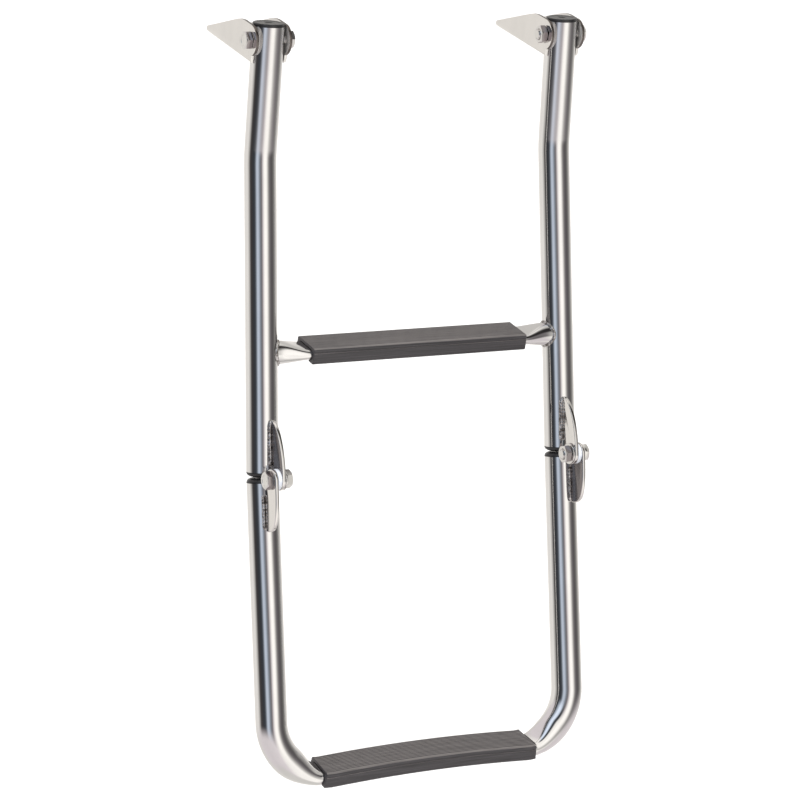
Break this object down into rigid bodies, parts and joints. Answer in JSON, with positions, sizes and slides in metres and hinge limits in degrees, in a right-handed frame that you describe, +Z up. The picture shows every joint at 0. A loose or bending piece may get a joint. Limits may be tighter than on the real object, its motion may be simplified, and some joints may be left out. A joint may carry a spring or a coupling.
{
  "type": "boat boarding ladder",
  "caption": "Folding stainless tube boarding ladder with moulded treads, deck brackets and a lower section that folds up on plate hinges.",
  "frame": {"origin": "on the deck surface, midway between the two deck brackets and level with their pivot bolts fore and aft", "axes": "+Z up, +Y inboard over the deck, +X along the deck edge; the ladder hangs down and outboard, towards -Y"},
  "size_m": [0.3034, 0.2582, 0.5788],
  "materials": {
    "polished_steel": "mirror-polished stainless tube and hinge plates",
    "bracket_steel": "polished stainless sheet",
    "fastener_steel": "bright stainless fasteners",
    "tread_plastic": "black moulded plastic with fine lengthwise grooves",
    "cap_plastic": "black moulded plastic with a soft sheen",
    "nylon": "natural white nylon"
  },
  "bodies": {
    "brackets": {"deck_bracket_left": "bracket_steel", "deck_bracket_right": "bracket_steel", "pivot_left_bolt": "fastener_steel", "pivot_left_nut": "fastener_steel", "pivot_right_bolt": "fastener_steel", "pivot_right_nut": "fastener_steel"},
    "upper_section": {"upper_rail_left": "polished_steel", "upper_rail_right": "polished_steel", "pivot_bush_left": "nylon", "pivot_bush_right": "nylon", "top_cap_left": "cap_plastic", "top_cap_right": "cap_plastic", "first_step_tube": "polished_steel", "first_tread": "tread_plastic", "upper_rail_plug_left": "cap_plastic", "upper_rail_plug_right": "cap_plastic", "upper_hinge_plate_left": "polished_steel", "upper_hinge_plate_right": "polished_steel", "hinge_left_bolt": "fastener_steel", "hinge_left_nut": "fastener_steel", "hinge_left_washer": "fastener_steel", "hinge_spacer_left": "nylon", "hinge_right_bolt": "fastener_steel", "hinge_right_nut": "fastener_steel", "hinge_right_washer": "fastener_steel", "hinge_spacer_right": "nylon"},
    "lower_section": {"lower_frame": "polished_steel", "lower_tread": "tread_plastic", "lower_rail_plug_left": "cap_plastic", "lower_rail_plug_right": "cap_plastic", "lower_hinge_plate_left": "polished_steel", "lower_hinge_plate_right": "polished_steel"}
  },
  "joints": [
    {"name": "deck_pivot", "type": "hinge", "parent": "brackets", "child": "upper_section", "pos_m": [0, 0, 0.0172], "axis": [-1, 0, 0], "range_deg": [0, 237]},
    {"name": "mid_fold", "type": "hinge", "parent": "upper_section", "child": "lower_section", "pos_m": [0, -0.10913, -0.30541], "axis": [-1, 0, 0], "range_deg": [0, 177]}
  ]
}
